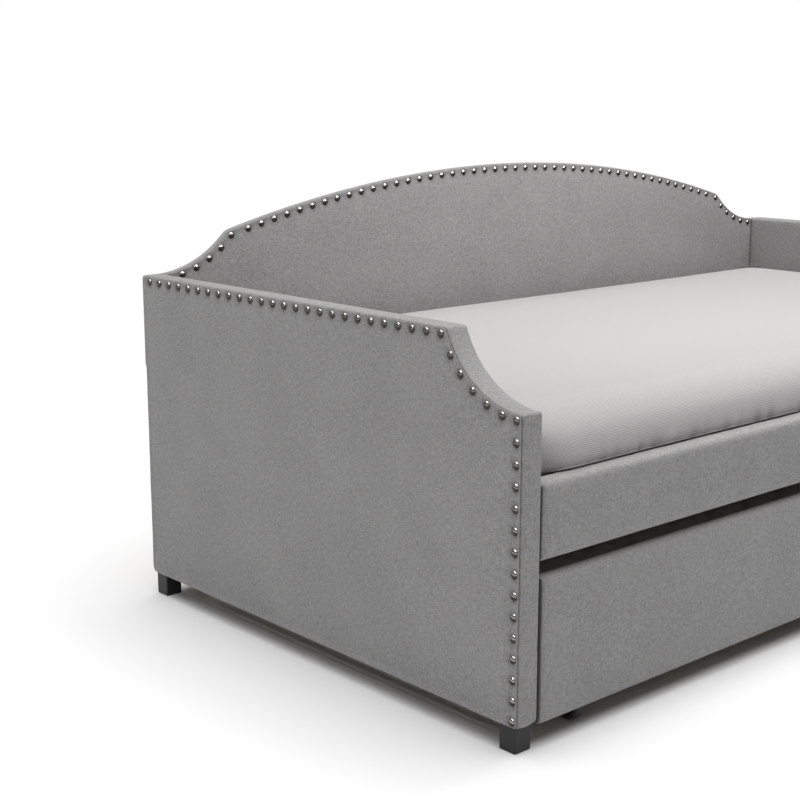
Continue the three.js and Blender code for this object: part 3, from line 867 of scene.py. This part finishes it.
def make_piping(name, pad, height, ticking):
    """A round piped seam sewn along a mattress's side, on the cloth all the way round."""
    away = 40 * MM
    low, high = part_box("trundle_mattress")
    corners = [(low.x, low.y), (high.x, low.y), (high.x, high.y), (low.x, high.y)]
    spans = [straight(corners[i], corners[(i + 1) % 4]) for i in range(4)]
    path = ring(spans, [0.070] * 4, [70, 36, 70, 36], 12)
    cloth = BVHTree.FromPolygons([v.co for v in pad.data.vertices], [p.vertices for p in pad.data.polygons])
    line = []
    for k, (x, y) in enumerate(path):
        out = outward(path, k)
        met = cloth.ray_cast(Vector((x, y, height)) + out * away, -out)[0] - out * PIPING_SEAT
        line.append((met.x, met.y))
    count, points = 8, []
    for k, (x, y) in enumerate(line):
        out = outward(line, k)
        for m in range(count):
            angle = 2 * math.pi * m / count
            shift = PIPING_RADIUS * math.cos(angle)
            rise = PIPING_RADIUS * math.sin(angle)
            points.append((x + out.x * shift, y + out.y * shift, height + rise))
    total = len(line)
    faces = [
        (k * count + m, k * count + (m + 1) % count,
         (k + 1) % total * count + (m + 1) % count, (k + 1) % total * count + m)
        for k in range(total) for m in range(count)
    ]
    piece = add_piece(name, points, faces, ticking, "trundle", "ticking")
    # a little painted shade all along the piping
    set_values(piece, "painted_shade", np.full(len(points), 0.15))


# ---- Finishes of the frame's own parts ----

def finish_frame():
    """Gives each part that shows as it was packed its finish."""
    along_x, along_y = (2.5, 60.0, 60.0), (60.0, 2.5, 60.0)
    rail_wood = wood_paint("frame_pine", (0.55, 0.40, 0.24), (0.40, 0.27, 0.15), along_x)
    side_wood = wood_paint("side_pine", (0.55, 0.40, 0.24), (0.40, 0.27, 0.15), along_y)
    slat_wood = wood_paint("slat_poplar", (0.66, 0.54, 0.38), (0.52, 0.40, 0.26), (2.0, 75.0, 75.0))
    cross_slat = wood_paint("cross_slat_poplar", (0.66, 0.54, 0.38), (0.52, 0.40, 0.26), (75.0, 2.0, 75.0))
    foot, zinc, tread = foot_paint(), zinc_paint(), tread_paint()
    by_ending = {"foot": foot, "bracket": zinc, "fork": zinc, "axle": zinc, "wheel": tread}
    for name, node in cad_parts.items():
        low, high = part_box(name)
        long_way = high.x - low.x > high.y - low.y
        wood = rail_wood if long_way else side_wood
        if "slat_" in name:
            wood = slat_wood if long_way else cross_slat
        finish = by_ending.get(name.split("_")[-1], wood)
        node.data.materials.clear()
        node.data.materials.append(finish)


# ---- Camera, light and floor ----

def make_camera():
    """The camera, a metre up and off the bed's front left corner."""
    data = bpy.data.cameras.new("camera")
    camera = bpy.data.objects.new("camera", data)
    bpy.context.scene.collection.objects.link(camera)
    data.lens, data.sensor_width = CAMERA_LENS, 36
    data.clip_end = 60
    camera.location = CAMERA_PLACE
    camera.rotation_euler = (math.radians(90 + CAMERA_PITCH), 0, math.radians(CAMERA_YAW - 90))
    bpy.context.scene.camera = camera


def add_light(name, kind, place, aim, power, **settings):
    """A lamp that looks from its place at its aim and isn't itself in view."""
    data = bpy.data.lights.new(name, kind)
    data.energy = power
    for key, value in settings.items():
        setattr(data, key, value)
    light = bpy.data.objects.new(name, data)
    bpy.context.scene.collection.objects.link(light)
    light.location = place
    light.rotation_euler = (Vector(aim) - Vector(place)).to_track_quat("-Z", "Y").to_euler()
    light.visible_camera = False


def make_studio():
    """A pale floor under even studio light, with softboxes over the bed and at its left."""
    scene = bpy.context.scene
    scene.view_settings.view_transform = "Standard"
    world = bpy.data.worlds.new("studio")
    world.use_nodes = True
    tree = world.node_tree
    room = tree.nodes["Background"]
    room.inputs["Color"].default_value = (1, 1, 1, 1)
    room.inputs["Strength"].default_value = ROOM_LIGHT
    backdrop = tree.nodes.new("ShaderNodeBackground")
    seen = tree.nodes.new("ShaderNodeLightPath")
    either = tree.nodes.new("ShaderNodeMixShader")
    tree.links.new(seen.outputs["Is Camera Ray"], either.inputs[0])
    tree.links.new(room.outputs[0], either.inputs[1])
    tree.links.new(backdrop.outputs[0], either.inputs[2])
    tree.links.new(either.outputs[0], tree.nodes["World Output"].inputs["Surface"])
    backdrop.inputs["Color"].default_value = (1, 1, 1, 1)
    scene.world = world
    mesh = bpy.data.meshes.new("floor")
    half = 40
    corners = [(-half, -half, 0), (half, -half, 0), (half, half, 0), (-half, half, 0)]
    mesh.from_pydata(corners, [], [(0, 1, 2, 3)])
    floor = bpy.data.objects.new("floor", mesh)
    scene.collection.objects.link(floor)
    paint = Paint("studio_floor", Base_Color=(*[FLOOR_TONE] * 3, 1), Roughness=0.9, Specular_IOR_Level=0.0)
    mesh.materials.append(paint.material)
    add_light("ceiling", "SUN", (0, 0, 5), (0, 0, 0), CEILING_LIGHT, angle=math.radians(70))
    long_box = {"shape": "RECTANGLE", "size": 1.8, "size_y": 0.4}
    add_light("over_bed", "AREA", (0.1, -0.46, 1.35), (0.1, 0.5, 0.62), 11, **long_box)
    add_light("left_box", "AREA", (-3.2, -0.6, 2.6), (-1.0, 0, 0.4), 9, size=0.35)


make_camera()
make_studio()
linen, nickel, ticking, percale = linen_paint(), nickel_paint(), ticking_paint(), sheet_paint()
finish_frame()
for side in ("left", "right"):
    make_arm(side, linen, nickel)
make_back(linen, nickel)
make_board("front_rail", "bedframe", linen)
make_board("trundle_front", "trundle", linen)
pad = make_mattress(ticking)
make_sheet(pad, percale)
make_trundle_mattress(ticking)

bpy.context.view_layer.update()
